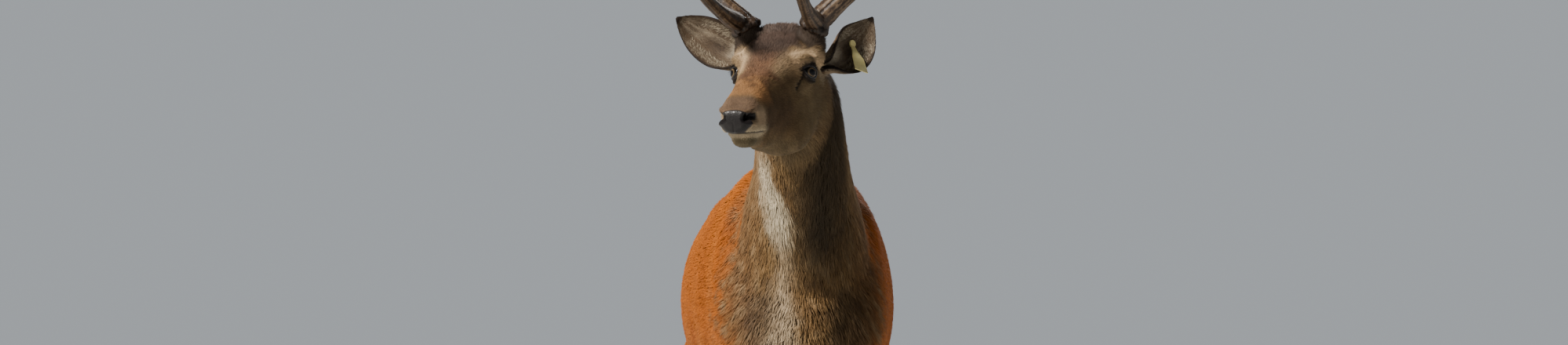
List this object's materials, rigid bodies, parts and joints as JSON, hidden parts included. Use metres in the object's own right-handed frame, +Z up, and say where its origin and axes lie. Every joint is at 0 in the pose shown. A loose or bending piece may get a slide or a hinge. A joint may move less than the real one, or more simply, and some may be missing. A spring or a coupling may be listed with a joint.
{
  "type": "red deer stag",
  "caption": "Life-size standing red deer stag with branched antlers, head turned a little to its right, and an ear tag in its left ear.",
  "frame": {"origin": "on the ground under the middle of the bounding box of the whole stag", "axes": "+Z up, -Y the way the body faces, +X to the stag's left"},
  "size_m": [0.7632, 1.9144, 2.1673],
  "materials": {
    "red_coat": "short hair, satin",
    "grey_brown_coat": "hair, matt",
    "antler": "bone, dark and furrowed, satin",
    "hoof_horn": "horn, satin",
    "eye": "wet, glossy",
    "nose_pad": "bare wet skin",
    "ear_tag": "moulded plastic, satin"
  },
  "bodies": {
    "root": {"head": "grey_brown_coat", "neck": "grey_brown_coat", "trunk": "red_coat", "tail": "red_coat", "nose": "nose_pad", "ear_left": "grey_brown_coat", "ear_right": "grey_brown_coat", "eye_left": "eye", "eye_right": "eye", "ear_tag_front": "ear_tag", "ear_tag_back": "ear_tag", "foreleg_right_upper": "red_coat", "foreleg_right_lower": "grey_brown_coat", "forehoof_right_inner": "hoof_horn", "foredewclaw_right_inner": "hoof_horn", "forehoof_right_outer": "hoof_horn", "foredewclaw_right_outer": "hoof_horn", "foreleg_left_upper": "red_coat", "foreleg_left_lower": "grey_brown_coat", "forehoof_left_inner": "hoof_horn", "foredewclaw_left_inner": "hoof_horn", "forehoof_left_outer": "hoof_horn", "foredewclaw_left_outer": "hoof_horn", "hindleg_right_upper": "red_coat", "hindleg_right_lower": "grey_brown_coat", "hindhoof_right_inner": "hoof_horn", "hinddewclaw_right_inner": "hoof_horn", "hindhoof_right_outer": "hoof_horn", "hinddewclaw_right_outer": "hoof_horn", "hindleg_left_upper": "red_coat", "hindleg_left_lower": "grey_brown_coat", "hindhoof_left_inner": "hoof_horn", "hinddewclaw_left_inner": "hoof_horn", "hindhoof_left_outer": "hoof_horn", "hinddewclaw_left_outer": "hoof_horn", "antler_right_beam_lower": "antler", "antler_right_beam_middle": "antler", "antler_right_beam_upper": "antler", "antler_right_crown_tip": "antler", "antler_right_brow_tine": "antler", "antler_right_bez_tine": "antler", "antler_right_trez_tine": "antler", "antler_right_crown_outer_tine": "antler", "antler_right_crown_rear_tine": "antler", "antler_right_crown_inner_tine": "antler", "antler_left_beam_lower": "antler", "antler_left_beam_middle": "antler", "antler_left_beam_upper": "antler", "antler_left_crown_tip": "antler", "antler_left_brow_tine": "antler", "antler_left_bez_tine": "antler", "antler_left_trez_tine": "antler", "antler_left_crown_outer_tine": "antler", "antler_left_crown_rear_tine": "antler", "antler_left_crown_inner_tine": "antler"}
  },
  "joints": []
}
